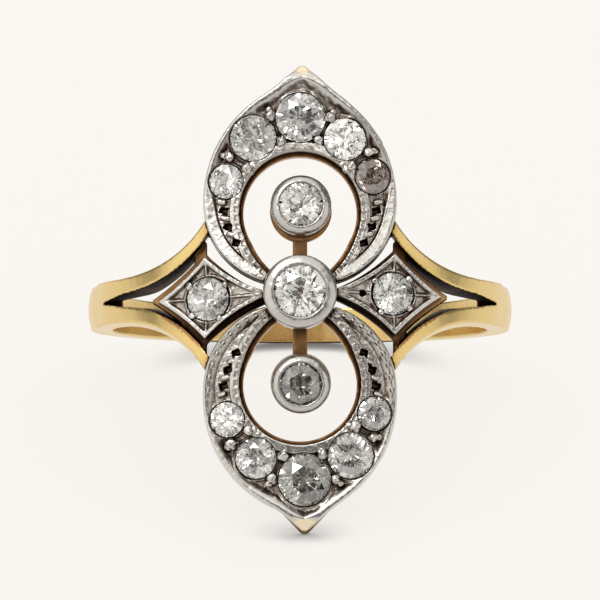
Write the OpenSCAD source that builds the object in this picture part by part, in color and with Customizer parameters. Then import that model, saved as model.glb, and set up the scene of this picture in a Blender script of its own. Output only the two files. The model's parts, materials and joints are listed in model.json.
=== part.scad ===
// Diamond ring: a gold hoop with forked shoulders and a long pierced head of two
// pointed crescents, three collets and two side lozenges, set with fifteen old-cut stones.
// Worn frame: X across the finger, Z along it, and the head's face towards -Y.
// The finished ring is tipped back until it lies by itself on its lower tip and the back of its hoop.

/* [Finger hole and hoop] */
// Inside diameter of the hoop
finger_d = 17; // [16:0.1:18]
// Thickness of the hoop at its back and sides
hoop_t = 1.1; // [0.9:0.05:1.3]
// Width of the hoop where the shoulders start
hoop_side_w = 1.95; // [1.7:0.05:2.2]
// Width of the hoop at its back
hoop_back_w = 1.55; // [1.3:0.05:1.7]
// How far the shoulders swell out in front of the round hoop
shoulder_swell = 0.95; // [0.7:0.05:1.1]

/* [Head] */
// Height of the head from tip to tip
head_h = 20.64; // [20.2:0.02:21]
// Width of each crescent
head_w = 8.5; // [8.3:0.05:8.8]
// Thickness of the head, gold and white metal together
head_t = 1.7; // [1.6:0.05:1.9]
// Thickness of the white metal on its own
white_t = 0.8; // [0.7:0.05:0.9]
// Radius of the face where it bends round the finger
face_r = 13; // [12:0.5:16]
// How many degrees the crescents lean back towards their tips
back_lean = 3.5; // [2:0.5:4]
// How many degrees the gold behind them leans back
gold_lean = 1.2; // [0.4:0.2:1.2]
// Width of the plain rim outside the stones
rim_w = 0.2; // [0.15:0.01:0.24]
// Width of the beaded edge round each opening
bead_edge_w = 0.42; // [0.35:0.01:0.46]
// Depth of the channel between the rim and the beaded edge
channel_h = 0.25; // [0.15:0.05:0.3]

/* [Collets] */
// Outside diameter of the centre collet
centre_collet_d = 3.26; // [3.1:0.02:3.4]
// Outside diameter of the upper collet
upper_collet_d = 2.68; // [2.5:0.02:2.8]
// Outside diameter of the lower collet
lower_collet_d = 2.62; // [2.5:0.02:2.8]
// Width of the bars that join the collets
bar_w = 0.64; // [0.5:0.02:0.8]

/* [Stones] */
// Table's width as a share of the stone's
table_share = 0.5; // [0.42:0.01:0.56]
// Crown's height as a share of the stone's width
crown_share = 0.17; // [0.14:0.01:0.19]
// Pavilion's depth as a share of the stone's width
pavilion_share = 0.43; // [0.38:0.01:0.44]

/* [Hidden] */
$fn = 96;
arc_fn = 240;

// Air between a stone or a white piece and its neighbour
stone_gap = 0.03;
metal_gap = 0.02;

// Hoop and shoulders, seen from above and from the front
finger_r = finger_d / 2;
hoop_r = finger_r + hoop_t;
band_round = 3;
shoulder_r = hoop_r - shoulder_swell + 0.7;
fork_x = hoop_r - 0.7;
fork_depth = 3.1;
arm_foot = [head_w / 2 - 0.05, 3.25];
arm_foot_w = 0.79;
arm_bow_x = hoop_r - 1.4;
arm_bow_v = hoop_side_w / 2;
fork_bow_x = hoop_r - 1.2;
fork_bow_v = 0.26;

// Head: its back clears the finger by a gap, and its tips stand a little off the middle
back_gap = 0.2;
tip_shift = [0.1, 0.2];
head_drop = 0.2;
face_y = -(finger_r + back_gap + head_t);
face_axis_y = face_y + face_r;
flat_h = 1.9;
gold_proud = 0.03;
half_w = head_w / 2;
arch_v = 4.34;
arch_rise = 0.508 * head_h / 2;
tip_v = head_h / 2;
white_tip_v = tip_v - 0.35;
white_nose = 0.3;
channel_tip_v = tip_v - 0.6;
heel_r = 3.72;
heel_v = [4.28, 4.03];
heel_back_y = face_axis_y - sqrt(pow(face_at(heel_v[0]) - white_t - metal_gap, 2) - pow(half_w, 2));
white_opening = [2.7, 3.7];
gold_opening = [2.5, 3.45];
opening_v = 3.78;
opening_lens_x = 1.06;

// Side lozenges: inner corner of the white, its sunk field and the gold, then the other corners,
// and how far the inner and the outer sides curve in
loz_in = 1.1;
loz_field_in = 1.45;
loz_base_in = 0.9;
loz_mid = 4.2;
loz_out = 6.28;
loz_half_h = 1.8;
loz_v = [0.02, 0.2];
loz_bow = [0.25, 0.1];
loz_steps = 8;
loz_blunt = 0.05;
loz_rim_w = 0.16;
loz_base_grow = 0.2;
strut_w = 0.55;
strut_v = 2.55;

// Seats: the ledge under a girdle, the girdle's half height, and its depth below the face or a collet's top
seat_ledge = 0.15;
ledge_drop = 0.17;
girdle_half = 0.03;
bead_girdle = -0.1;
collet_girdle = -0.24;
hole_share = 0.3;

// Stones set in the head's own metal: name, place across and along, width, and turn of the facets
NAME = 0;
ACROSS = 1;
ALONG = 2;
WIDTH = 3;
TURN = 4;
upper_stones = [
    ["upper_diamond_1", -3.28, 5.16, 1.52, 12],
    ["upper_diamond_2", -2.08, 7.06, 2.04, 30],
    ["upper_diamond_3", 0.03, 7.96, 2.20, 5],
    ["upper_diamond_4", 1.99, 7.01, 1.86, 20],
    ["upper_diamond_5", 3.21, 5.38, 1.56, 0],
];
lower_stones = [
    ["lower_diamond_1", -3.22, -5.35, 1.54, 8],
    ["lower_diamond_2", -1.95, -7.05, 1.80, 25],
    ["lower_diamond_3", 0.20, -8.00, 2.30, 15],
    ["lower_diamond_4", 2.24, -6.93, 2.02, 35],
    ["lower_diamond_5", 3.29, -5.09, 1.50, 18],
];
side_stones = [
    ["left_diamond", -4.08, -0.04, 1.90, 10],
    ["right_diamond", 4.12, 0.20, 1.86, 28],
];

// Collets, with the name of each one's stone, and its outside width, height above the face and lean
OUTSIDE = 5;
PROUD = 6;
LEAN = 7;
collets = [
    ["centre_diamond", 0.00, 0.22, 2.45, 4, centre_collet_d, 0.55, 0],
    ["upper_collet_diamond", 0.04, 4.08, 2.10, 17, upper_collet_d, 0.15, 2],
    ["lower_collet_diamond", 0.04, -3.82, 2.04, 9, lower_collet_d, 0.15, -2],
];
COLLET_NAMES = ["centre_collet", "upper_collet", "lower_collet"];

// Small square piercings and the grains between them, on the right of the upper crescent, and the
// beads of metal between the stones
pierced = [[3.42, 3.86], [3.24, 3.14], [2.88, 2.44]];
pierced_size = [0.36, 0.28];
channel_grains = [[3.42, 4.22], [3.36, 3.50], [3.09, 2.78]];
pierced_turn = 20;
grain_r = 0.15;
grain_top = 0.02;
bead_top = 0.06;
bead_spread = 0.65;
corner_bead_gap = 0.1;

// Where the ring touches the surface when it lies down, and the lean that follows. It is worn
// flat there by this depth.
rest_wear = 0.05;
tip_back_y = face_axis_y - face_r + head_t + (tip_v - flat_h) * tan(gold_lean);
tip_drop = tip_v + head_drop;
hoop_edge_y = hoop_r - (band_round - sqrt(pow(band_round, 2) - pow(hoop_back_w / 2, 2)));
lean = atan2(tip_drop - hoop_back_w / 2, hoop_edge_y - tip_back_y);
tip_front_y = face_axis_y - face_at(white_tip_v);
rest_z = hoop_edge_y * sin(lean) + hoop_back_w / 2 * cos(lean) - rest_wear;
front_y = tip_front_y * cos(lean) - (white_tip_v + head_drop) * sin(lean);
rear_y = hoop_edge_y * cos(lean) + hoop_back_w / 2 * sin(lean);

// Radius of the face at a height, and its lean there
function face_at(v) = face_r - max(0, abs(v) - flat_h) * tan(back_lean);
function lean_at(v) = abs(v) > flat_h ? sign(v) * back_lean : 0;

// Radius of an arc that starts level and gains a rise over a run
function bow_radius(run, rise) = (run * run + rise * rise) / (2 * rise);

// How far behind the middle the centre of one side of a pointed arch lies
function arch_back(shift) =
    (shift * shift + arch_rise * arch_rise - half_w * half_w) / (2 * (half_w - shift));

// Unit vector from one point to another, and the point a share of the way between them
function toward(a, b) = (b - a) / norm(b - a);
function between(a, b, share) = a + (b - a) * share;

// Turns the ring from its worn frame to how it lies on a surface
module lay_down() {
    translate([0, -(front_y + rear_y) / 2, rest_z])
        rotate([-lean, 0, 0])
            children();
}

// The head hangs a touch below the hoop's middle
module on_head() {
    translate([0, 0, -head_drop])
        children();
}

// Puts a shape's own Z along the face's outward normal, with its origin on the face
module on_face(x, v) {
    r = face_at(v);
    translate([0, face_axis_y, v])
        rotate(asin(x / r))
            translate([0, -r, 0])
                rotate([90 - lean_at(v), 0, 0])
                    children();
}

// A solid of revolution whose side is the head's face, sunk by a depth and with a lean of its own
module face_drum(depth, lean_deg = back_lean) {
    r = face_r - depth;
    end_v = tip_v + 2;
    end_r = r - (end_v - flat_h) * tan(lean_deg);
    translate([0, face_axis_y, 0])
        rotate_extrude()
            polygon([[0, -end_v], [end_r, -end_v], [r, -flat_h], [r, flat_h], [end_r, end_v], [0, end_v]]);
}

// A front-view outline cut as one layer of the curved head, between two depths below the face
module layer(top, bottom, bottom_lean = back_lean) {
    difference() {
        intersection() {
            rotate([90, 0, 0])
                linear_extrude(height = -face_y + 2)
                    children();
            face_drum(top);
        }
        face_drum(bottom, bottom_lean);
    }
}

// Front-view outline of one crescent: a pointed arch above, and wide round heels that run in to the centre
module crescent_outline(grow, half) {
    shift = tip_shift[half];
    intersection() {
        translate([-arch_back(shift), arch_v])
            circle(half_w + arch_back(shift) + grow, $fn = arc_fn);
        translate([arch_back(-shift), arch_v])
            circle(half_w + arch_back(-shift) + grow, $fn = arc_fn);
        translate([-half_w - 1, arch_v - 0.1])
            square([head_w + 2, tip_v]);
    }
    translate([-half_w - grow, heel_v[half]])
        square([head_w + 2 * grow, arch_v - heel_v[half]]);
    for (side = [-1, 1])
        intersection() {
            translate([side * (half_w - heel_r), heel_v[half]])
                circle(heel_r + grow, $fn = arc_fn);
            translate([-half_w - 1, 0])
                square([head_w + 2, heel_v[half]]);
        }
}

// The small flared tip that turns the arch into an ogee, with a round nose
module tip_outline(top, shift, nose) {
    translate([shift, top]) {
        polygon([
            [-1.4, -1.35], [-0.95, -0.85], [-0.8 * nose, -0.4 * nose],
            [0.8 * nose, -0.4 * nose], [0.95, -0.85], [1.4, -1.35]
        ]);
        translate([0, -nose])
            circle(nose);
    }
}

// The white metal's tip, a shade inside the gold's and with its nose cut off
module white_tip_outline(shift) {
    translate([shift, white_tip_v])
        polygon([
            [-1.35, -1.06], [-0.9, -0.55], [-white_nose, 0],
            [white_nose, 0], [0.9, -0.55], [1.35, -1.06]
        ]);
}

// The opening of a crescent: round above, a lens of two arcs below
module opening_outline(size, grow) {
    translate([0, opening_v])
        circle(size[0] + grow);
    intersection() {
        opening_lens(size[1] + grow, -1);
        opening_lens(size[1] + grow, 1);
        translate([-half_w, -2])
            square([head_w, opening_v + 2]);
    }
}

module opening_lens(r, side) {
    translate([side * opening_lens_x, opening_v])
        circle(r);
}

// Points from one corner to the next along a side that curves in
function curved_side(a, b, bow) =
    [for (i = [0:loz_steps - 1])
        let (share = i / loz_steps, along = toward(a, b))
        between(a, b, share) + [-along[1], along[0]] * bow * 4 * share * (1 - share)];

// A four-pointed lozenge on the right, with sides that curve in and a blunt outer point
module lozenge_outline(inner, grow) {
    inner_corner = [inner, 0];
    lower = [loz_mid, -loz_half_h - 1.3 * grow];
    outer = [loz_out + 1.5 * grow, 0];
    upper = [loz_mid, loz_half_h + 1.3 * grow];
    difference() {
        polygon(concat(
            curved_side(inner_corner, lower, loz_bow[0]), curved_side(lower, outer, loz_bow[1]),
            curved_side(outer, upper, loz_bow[1]), curved_side(upper, inner_corner, loz_bow[0])
        ));
        translate([outer[0] - loz_blunt, -1])
            square(2);
    }
}

// The round back and sides of the hoop, narrower towards the back
module hoop_band() {
    taper = (hoop_side_w - hoop_back_w) / 2 / (hoop_r + fork_depth);
    end_y = hoop_r + 1;
    end_half = hoop_side_w / 2 - taper * (end_y + fork_depth);
    intersection() {
        rotate_extrude()
            intersection() {
                translate([hoop_r - band_round, 0])
                    circle(band_round, $fn = arc_fn);
                translate([finger_r - 0.3, -2])
                    square([4, 4]);
            }
        rotate([90, 0, 90])
            linear_extrude(height = 2 * hoop_r + 4, center = true)
                polygon([
                    [-fork_depth, -hoop_side_w / 2], [end_y, -end_half],
                    [end_y, end_half], [-fork_depth, hoop_side_w / 2]
                ]);
    }
}

// Front-view outline of both forked shoulders: bowed outside, split by a bowed fork
module shoulders_outline() {
    outer_r = bow_radius(arm_bow_x - arm_foot[0], arm_foot[1] - arm_bow_v);
    fork_foot_v = arm_foot[1] - arm_foot_w;
    fork_r = bow_radius(fork_bow_x - arm_foot[0], fork_foot_v - fork_bow_v);
    root_x = arm_foot[0] - 0.35;
    for (side = [0, 1])
        mirror([side, 0])
            difference() {
                union() {
                    translate([root_x, -arm_foot[1]])
                        square([arm_bow_x - root_x, 2 * arm_foot[1]]);
                    translate([arm_bow_x - 0.1, -hoop_side_w / 2])
                        square([4, hoop_side_w]);
                }
                for (up = [-1, 1])
                    translate([arm_bow_x, up * (arm_bow_v + outer_r)])
                        circle(outer_r, $fn = arc_fn);
                difference() {
                    translate([root_x - 1, -arm_foot[1]])
                        square([fork_bow_x - 0.5 - root_x + 1, 2 * arm_foot[1]]);
                    for (up = [-1, 1])
                        translate([fork_bow_x, up * (fork_bow_v + fork_r)])
                            circle(fork_r, $fn = arc_fn);
                }
                polygon([[fork_bow_x - 0.55, -0.29], [fork_x, 0], [fork_bow_x - 0.55, 0.29]]);
            }
}

// Shoulders: the front-view outline on a rounder, fuller front than the hoop's
module shoulders() {
    intersection() {
        rotate([90, 0, 0])
            linear_extrude(height = hoop_r + shoulder_swell)
                shoulders_outline();
        translate([0, -shoulder_swell, 0])
            cylinder(r = shoulder_r, h = 12, center = true);
        translate([0, -fork_depth - 10, 0])
            cube([40, 20 + 0.1, 12], center = true);
    }
}

// A round hole behind a stone, through the gold
module light_hole(s) {
    on_face(s[ACROSS], s[ALONG])
        cylinder(r = hole_share * s[WIDTH], h = 3 * head_t, center = true);
}

// Front-view outline of the gold frame: both crescents, the lozenges' bases and struts, and the bars
module gallery_outline() {
    for (half = [0, 1])
        mirror([0, half])
            difference() {
                union() {
                    crescent_outline(gold_proud, half);
                    tip_outline(tip_v, tip_shift[half], 0.3);
                }
                opening_outline(gold_opening, 0);
            }
    for (i = [0, 1])
        mirror([1 - i, 0]) {
            translate([0, loz_v[i]])
                lozenge_outline(loz_base_in, loz_base_grow);
            translate([loz_mid - 0.1, -strut_v])
                square([strut_w, 2 * strut_v]);
        }
    translate([-bar_w / 2, collets[2][ALONG]])
        square([bar_w, collets[1][ALONG] - collets[2][ALONG]]);
}

// Gold cup under a collet
module cup(c) {
    on_face(c[ACROSS], c[ALONG])
        rotate([-c[LEAN], 0, 0])
            translate([0, 0, -head_t])
                cylinder(r = c[OUTSIDE] / 2 - 0.15, h = head_t - white_t - metal_gap);
}

// Room for the white fronts' round heels, cut out of the feet of the arms beside them
module heel_room() {
    for (side = [-1, 1], half = [0, 1])
        translate([side * (half_w - heel_r), heel_back_y, (1 - 2 * half) * heel_v[half]])
            rotate([90, 0, 0])
                cylinder(r = heel_r + metal_gap, h = 4);
}

// Hoop, shoulders and gallery in the worn frame
module gold_work() {
    difference() {
        union() {
            hoop_band();
            difference() {
                shoulders();
                on_head()
                    heel_room();
            }
            on_head() {
                layer(white_t + metal_gap, head_t, gold_lean)
                    gallery_outline();
                for (c = collets)
                    cup(c);
            }
        }
        on_head()
            for (s = concat(upper_stones, lower_stones, side_stones, collets))
                light_hole(s);
        cylinder(r = finger_r, h = 3 * head_h, center = true);
    }
}

// All the yellow gold, soldered into one, with the two small flats that it rests on
module shank_and_gallery() {
    color("goldenrod")
        difference() {
            lay_down()
                gold_work();
            translate([0, 0, -head_h])
                cube(2 * head_h, center = true);
        }
}

// A stone's seat, cut through the white metal: bearing for the girdle, cone and hole for the pavilion
module seat(s) {
    r = s[WIDTH] / 2;
    ledge = bead_girdle - girdle_half - stone_gap;
    on_face(s[ACROSS], s[ALONG])
        rotate_extrude()
            polygon([
                [0, 2], [r + stone_gap, 2], [r + stone_gap, ledge],
                [r - seat_ledge, ledge - ledge_drop], [r - seat_ledge, -head_t], [0, -head_t]
            ]);
}

// A bead of metal raised beside a stone, on a foot that reaches below the channel's floor
module grain(p, top) {
    on_face(p[0], p[1])
        rotate_extrude()
            polygon([
                [0, -2 * channel_h], [grain_r, -2 * channel_h], [grain_r, top - 0.1],
                [0.6 * grain_r, top], [0, top]
            ]);
}

// Two grains in the gap between neighbouring stones
module gap_grains(a, b) {
    pa = [a[ACROSS], a[ALONG]];
    pb = [b[ACROSS], b[ALONG]];
    along = toward(pa, pb);
    ra = a[WIDTH] / 2;
    rb = b[WIDTH] / 2;
    middle = pa + along * (ra + (norm(pb - pa) - ra - rb) / 2);
    for (side = [-1, 1])
        grain(middle + side * [-along[1], along[0]] * bead_spread * min(ra, rb), bead_top);
}

// Room for the centre collet, cut out of the white metal round it
module centre_collet_room() {
    c = collets[0];
    on_face(c[ACROSS], c[ALONG])
        cylinder(r = c[OUTSIDE] / 2 + metal_gap, h = 6, center = true);
}

// White metal front of one crescent, with its channel, seats, grains and piercings
module crescent(stones, half) {
    up = half == 0 ? 1 : -1;
    shift = tip_shift[half];
    difference() {
        union() {
            mirror([0, 0, half])
                difference() {
                    layer(0, white_t)
                        difference() {
                            union() {
                                crescent_outline(0, half);
                                white_tip_outline(shift);
                            }
                            opening_outline(white_opening, 0);
                        }
                    layer(-1, channel_h)
                        difference() {
                            union() {
                                crescent_outline(-rim_w, half);
                                tip_outline(channel_tip_v, shift, 0.05);
                            }
                            opening_outline(white_opening, bead_edge_w);
                        }
                }
            for (i = [0:len(stones) - 2])
                gap_grains(stones[i], stones[i + 1]);
            for (side = [-1, 1], g = channel_grains)
                grain([side * g[0], up * g[1]], grain_top);
        }
        for (s = stones)
            seat(s);
        for (side = [-1, 1], p = pierced)
            on_face(side * p[0], up * p[1])
                rotate(side * up * pierced_turn)
                    cube([pierced_size[0], pierced_size[1], 3], center = true);
        centre_collet_room();
    }
}

// White metal front of a side lozenge, sunk round its stone, with a grain in each corner
module lozenge(i) {
    s = side_stones[i];
    difference() {
        union() {
            difference() {
                layer(0, white_t)
                    mirror([1 - i, 0])
                        translate([0, loz_v[i]])
                            lozenge_outline(loz_in, 0);
                layer(-1, channel_h)
                    mirror([1 - i, 0])
                        translate([0, loz_v[i]])
                            lozenge_outline(loz_field_in, -loz_rim_w);
            }
            for (a = [0:90:270])
                grain([s[ACROSS], s[ALONG]] + (s[WIDTH] / 2 + corner_bead_gap) * [cos(a), sin(a)], bead_top);
        }
        seat(s);
        centre_collet_room();
    }
}

// White metal ring of a collet, with a lip over its stone's edge
module collet(c) {
    r = c[WIDTH] / 2;
    outside = c[OUTSIDE] / 2;
    top = c[PROUD];
    girdle = top + collet_girdle;
    ledge = girdle - girdle_half - stone_gap;
    foot = -white_t;
    on_face(c[ACROSS], c[ALONG])
        rotate([-c[LEAN], 0, 0])
            rotate_extrude()
                polygon([
                    [r - seat_ledge, foot], [outside - 0.05, foot], [outside, top - 0.16],
                    [outside - 0.09, top], [r - 0.12, top], [r - 0.12, girdle + 0.17],
                    [r + stone_gap, girdle + 0.07], [r + stone_gap, ledge],
                    [r - seat_ledge, ledge - ledge_drop]
                ]);
}

// Old-cut stone with its girdle's middle at the origin: table, 8 stars, 8 kites and 16 halves above,
// 16 halves and 8 kites below, and a small culet
module old_cut(width) {
    r = width / 2;
    table_r = r * table_share;
    crown_h = width * crown_share;
    table_z = girdle_half + crown_h;
    star_r = r * 0.78;
    star_z = girdle_half + crown_h * (r - star_r * cos(22.5)) / (r - table_r);
    culet_r = 0.09 * r;
    pavilion_h = width * pavilion_share;
    culet_z = -girdle_half - pavilion_h;
    low_r = r * 0.55;
    low_z = -girdle_half - pavilion_h * (r - low_r * cos(22.5)) / (r - culet_r);
    function ring(n, radius, z, start) =
        [for (i = [0:n - 1]) [radius * cos(start + i * 360 / n), radius * sin(start + i * 360 / n), z]];
    points = concat(
        ring(8, table_r, table_z, 0), ring(8, star_r, star_z, 22.5), ring(16, r, girdle_half, 0),
        ring(16, r, -girdle_half, 0), ring(8, low_r, low_z, 22.5), ring(8, culet_r, culet_z, 0)
    );
    table = 0;
    star = 8;
    upper = 16;
    lower = 32;
    low = 48;
    culet = 56;
    function next(i, n) = (i + 1) % n;
    faces = concat(
        [[for (i = [7:-1:0]) table + i]],
        [for (i = [0:7]) [table + i, table + next(i, 8), star + i]],
        [for (i = [0:7]) [table + i, star + i, upper + 2 * i, star + (i + 7) % 8]],
        [for (i = [0:7]) [star + i, upper + 2 * i + 1, upper + 2 * i]],
        [for (i = [0:7]) [star + i, upper + next(2 * i + 1, 16), upper + 2 * i + 1]],
        [for (i = [0:15]) [upper + i, upper + next(i, 16), lower + next(i, 16), lower + i]],
        [for (i = [0:7]) [low + i, lower + 2 * i, lower + 2 * i + 1]],
        [for (i = [0:7]) [low + i, lower + 2 * i + 1, lower + next(2 * i + 1, 16)]],
        [for (i = [0:7]) [culet + i, low + (i + 7) % 8, lower + 2 * i, low + i]],
        [for (i = [0:7]) [culet + i, low + i, culet + next(i, 8)]],
        [[for (i = [0:7]) culet + i]]
    );
    polyhedron(points, faces, convexity = 4);
}

// A stone in the head's own metal, or in a collet
module set_stone(s, girdle, tilt = 0) {
    color("whitesmoke")
        lay_down()
            on_head()
                on_face(s[ACROSS], s[ALONG])
                    rotate([-tilt, 0, 0])
                        translate([0, 0, girdle])
                            rotate(s[TURN])
                                old_cut(s[WIDTH]);
}

// White metal, laid down with the rest
module white_metal() {
    color("gainsboro")
        lay_down()
            on_head()
                children();
}

shank_and_gallery();
white_metal() crescent(upper_stones, 0);  // upper_crescent
white_metal() crescent(lower_stones, 1);  // lower_crescent
white_metal() lozenge(0);  // left_lozenge
white_metal() lozenge(1);  // right_lozenge
for (i = [0:2])
    white_metal() collet(collets[i]);
for (c = collets)
    set_stone(c, c[PROUD] + collet_girdle, c[LEAN]);
for (s = concat(upper_stones, lower_stones, side_stones))
    set_stone(s, bead_girdle);
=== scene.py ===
import json
import math
import random

import bmesh
import bpy
from mathutils import Matrix, Vector, noise


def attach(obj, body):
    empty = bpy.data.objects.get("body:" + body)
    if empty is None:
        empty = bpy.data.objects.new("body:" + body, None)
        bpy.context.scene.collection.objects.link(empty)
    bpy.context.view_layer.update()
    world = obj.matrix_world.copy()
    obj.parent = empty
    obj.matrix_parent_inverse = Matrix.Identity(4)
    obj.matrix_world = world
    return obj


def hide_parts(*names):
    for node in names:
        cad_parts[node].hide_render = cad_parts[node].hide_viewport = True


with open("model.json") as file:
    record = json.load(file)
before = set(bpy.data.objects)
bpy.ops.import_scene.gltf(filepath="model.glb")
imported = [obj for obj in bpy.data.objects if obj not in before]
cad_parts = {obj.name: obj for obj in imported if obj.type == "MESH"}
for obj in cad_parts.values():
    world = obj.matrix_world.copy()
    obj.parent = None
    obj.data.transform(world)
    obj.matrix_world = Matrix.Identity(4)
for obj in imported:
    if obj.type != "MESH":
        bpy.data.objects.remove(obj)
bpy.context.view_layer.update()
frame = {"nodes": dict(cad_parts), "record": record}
nodes = frame["nodes"]
scene = bpy.context.scene
print("frame loaded:", len(nodes), "nodes")

# The worn ring's own frame, in millimetres: x across, y towards the back of the hoop, v along the finger.
hole = frame["record"]["mounts"][0]
acrossAxis = Vector((1, 0, 0))
fingerAxis = Vector(hole["axis"]).normalized()
backAxis = fingerAxis.cross(acrossAxis)
turned = Matrix((acrossAxis, backAxis, fingerAxis)).transposed().to_4x4()
ringToRow = Matrix.Translation(hole["pos_m"]) @ turned @ Matrix.Scale(0.001, 4)
rowToRing = ringToRow.inverted()
# places closer than this are one
weldDistance = 0.0005

# Camera: far off and almost in the plane of the hoop, as in the photo
cameraLook = {"distance": 300.0, "belowHoop": 4.6, "aimV": 0.5, "lens": 396.5, "sensor": 36.0,
              "near": 0.01, "far": 10}


def placeCamera():
    data = bpy.data.cameras.new("camera")
    data.lens = cameraLook["lens"]
    data.sensor_width = cameraLook["sensor"]
    data.clip_start = cameraLook["near"]
    data.clip_end = cameraLook["far"]
    camera = bpy.data.objects.new("camera", data)
    scene.collection.objects.link(camera)
    dip = math.radians(cameraLook["belowHoop"])
    aim = Vector((0, 0, cameraLook["aimV"]))
    eye = aim - cameraLook["distance"] * Vector((0, math.cos(dip), math.sin(dip)))
    eye, aim = ringToRow @ eye, ringToRow @ aim
    look = (aim - eye).normalized()
    side = look.cross(Vector((0, 0, 1))).normalized()
    up = side.cross(look)
    camera.matrix_world = Matrix.Translation(eye) @ Matrix((side, up, -look)).transposed().to_4x4()
    scene.camera = camera


placeCamera()

# Studio: a pale floor that glows evenly, with a painted shadow only close under the ring where ambient occlusion
# darkens its glow, and a white dome.
# What the metal and the stones mirror is a room of soft boxes instead, each with its direction, half angle and softness
# in degrees, and strength. Light that comes out of a stone meets the same room with its walls a little lighter.
studio = {
    "floorSide": 3.0, "floorColour": (0.93, 0.905, 0.865), "floorGlow": 0.85, "floorRoughness": 0.9,
    "shadowReach": 0.0022, "shadowLow": 0.1, "shadowHigh": 0.72, "shadowDark": 0.22, "shadowSamples": 16,
    "domeStrength": 1.03, "domeColour": (1.0, 1.0, 1.0),
    "roomColour": (1.0, 0.975, 0.925), "roomShade": 0.11, "stoneGain": 0.95, "stoneLift": 0.05,
    "softBoxes": [
        ((0.0, -0.15, 1.0), 32, 10, 1.02),
        ((-0.85, -0.55, 0.45), 26, 12, 1.08),
        ((0.95, -0.5, 0.25), 20, 10, 0.95),
        ((0.25, -0.8, 0.75), 9, 3, 1.3),
        ((-0.25, -1.0, 0.15), 8, 3, 0.8),
        ((0.0, 1.0, 0.45), 40, 12, 0.6),
    ],
    "lampPower": 0.35, "lampSize": 0.12, "lampPlace": (-0.12, -0.12, 0.3),
}
lightPaths = {
    "use_denoising": True, "max_bounces": 16, "transmission_bounces": 14, "glossy_bounces": 8,
    "caustics_reflective": False, "caustics_refractive": False,
}


def opaque(colour, share=1.0):
    return (*[share * part for part in colour], 1)


def feed(tree, node, values):
    # each value is a number, a colour or the socket that it comes from
    for name, value in values.items():
        if isinstance(value, bpy.types.NodeSocket):
            tree.links.new(value, node.inputs[name])
        else:
            node.inputs[name].default_value = value


def addNode(tree, kind, values=None, **settings):
    node = tree.nodes.new(kind)
    for name, value in settings.items():
        setattr(node, name, value)
    feed(tree, node, values or {})
    return node


def calculate(tree, operation, *terms):
    return addNode(tree, "ShaderNodeMath", dict(enumerate(terms)), operation=operation).outputs[0]


def mixNumbers(tree, share, first, second):
    values = {"Factor": share, "A": first, "B": second}
    return addNode(tree, "ShaderNodeMix", values, data_type="FLOAT").outputs["Result"]


def mixColours(tree, share, first, second):
    # sockets 6, 7 and 2 are the ones that a mix of colours shows as A, B and Result
    return addNode(tree, "ShaderNodeMix", {"Factor": share, 6: first, 7: second}, data_type="RGBA").outputs[2]


def buildFloor():
    bm = bmesh.new()
    bmesh.ops.create_grid(bm, x_segments=1, y_segments=1, size=studio["floorSide"] / 2)
    mesh = bpy.data.meshes.new("floor")
    bm.to_mesh(mesh)
    bm.free()
    floor = bpy.data.objects.new("floor", mesh)
    scene.collection.objects.link(floor)
    colour, glow = studio["floorColour"], studio["floorGlow"]
    material = bpy.data.materials.new("paleFloor")
    material.use_nodes = True
    tree = material.node_tree
    # ambient occlusion near the ring darkens the glow: a painted contact shadow
    contact = addNode(tree, "ShaderNodeAmbientOcclusion", {"Distance": studio["shadowReach"]},
                      samples=studio["shadowSamples"])
    spread = addNode(tree, "ShaderNodeMapRange", {
        "Value": contact.outputs["AO"], "From Min": studio["shadowLow"], "From Max": studio["shadowHigh"]})
    dark = opaque(colour, studio["shadowDark"])
    feed(tree, tree.nodes["Principled BSDF"], {
        "Base Color": opaque(colour, 1 - glow),
        "Emission Color": mixColours(tree, spread.outputs["Result"], dark, opaque(colour)),
        "Emission Strength": glow * studio["domeStrength"],
        "Roughness": studio["floorRoughness"], "Specular IOR Level": 0.0})
    mesh.materials.append(material)


def buildWorld():
    world = bpy.data.worlds.new("studioDome")
    scene.world = world
    world.use_nodes = True
    tree = world.node_tree
    place = addNode(tree, "ShaderNodeTexCoord")
    room = studio["roomShade"]
    for direction, half, softness, strength in studio["softBoxes"]:
        facing = addNode(tree, "ShaderNodeVectorMath", {
            0: place.outputs["Generated"], 1: Vector(direction).normalized()}, operation="DOT_PRODUCT")
        glow = addNode(tree, "ShaderNodeMapRange", {
            "Value": facing.outputs["Value"], "From Min": math.cos(math.radians(half + softness)),
            "From Max": math.cos(math.radians(half)), "To Max": strength}, interpolation_type="SMOOTHSTEP")
        room = calculate(tree, "ADD", room, glow.outputs["Result"])
    rays = addNode(tree, "ShaderNodeLightPath")
    throughStone = calculate(tree, "MULTIPLY_ADD", room, studio["stoneGain"], studio["stoneLift"])
    seen = mixNumbers(tree, rays.outputs["Is Transmission Ray"], room, throughStone)
    diffuse = rays.outputs["Is Diffuse Ray"]
    feed(tree, tree.nodes["Background"], {
        "Color": mixColours(tree, diffuse, opaque(studio["roomColour"]), opaque(studio["domeColour"])),
        "Strength": mixNumbers(tree, diffuse, seen, studio["domeStrength"])})


def addLamp(name, power, size, place):
    data = bpy.data.lights.new(name, "AREA")
    data.energy = power
    data.size = size
    lamp = bpy.data.objects.new(name, data)
    scene.collection.objects.link(lamp)
    lamp.location = place
    lamp.rotation_euler = (-Vector(place)).to_track_quat("-Z", "Y").to_euler()
    lamp.visible_diffuse = False


buildFloor()
buildWorld()
addLamp("sparkleLamp", studio["lampPower"], studio["lampSize"], studio["lampPlace"])
scene.view_settings.view_transform = "Standard"
for name, value in lightPaths.items():
    setattr(scene.cycles, name, value)
print("studio ready")


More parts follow.
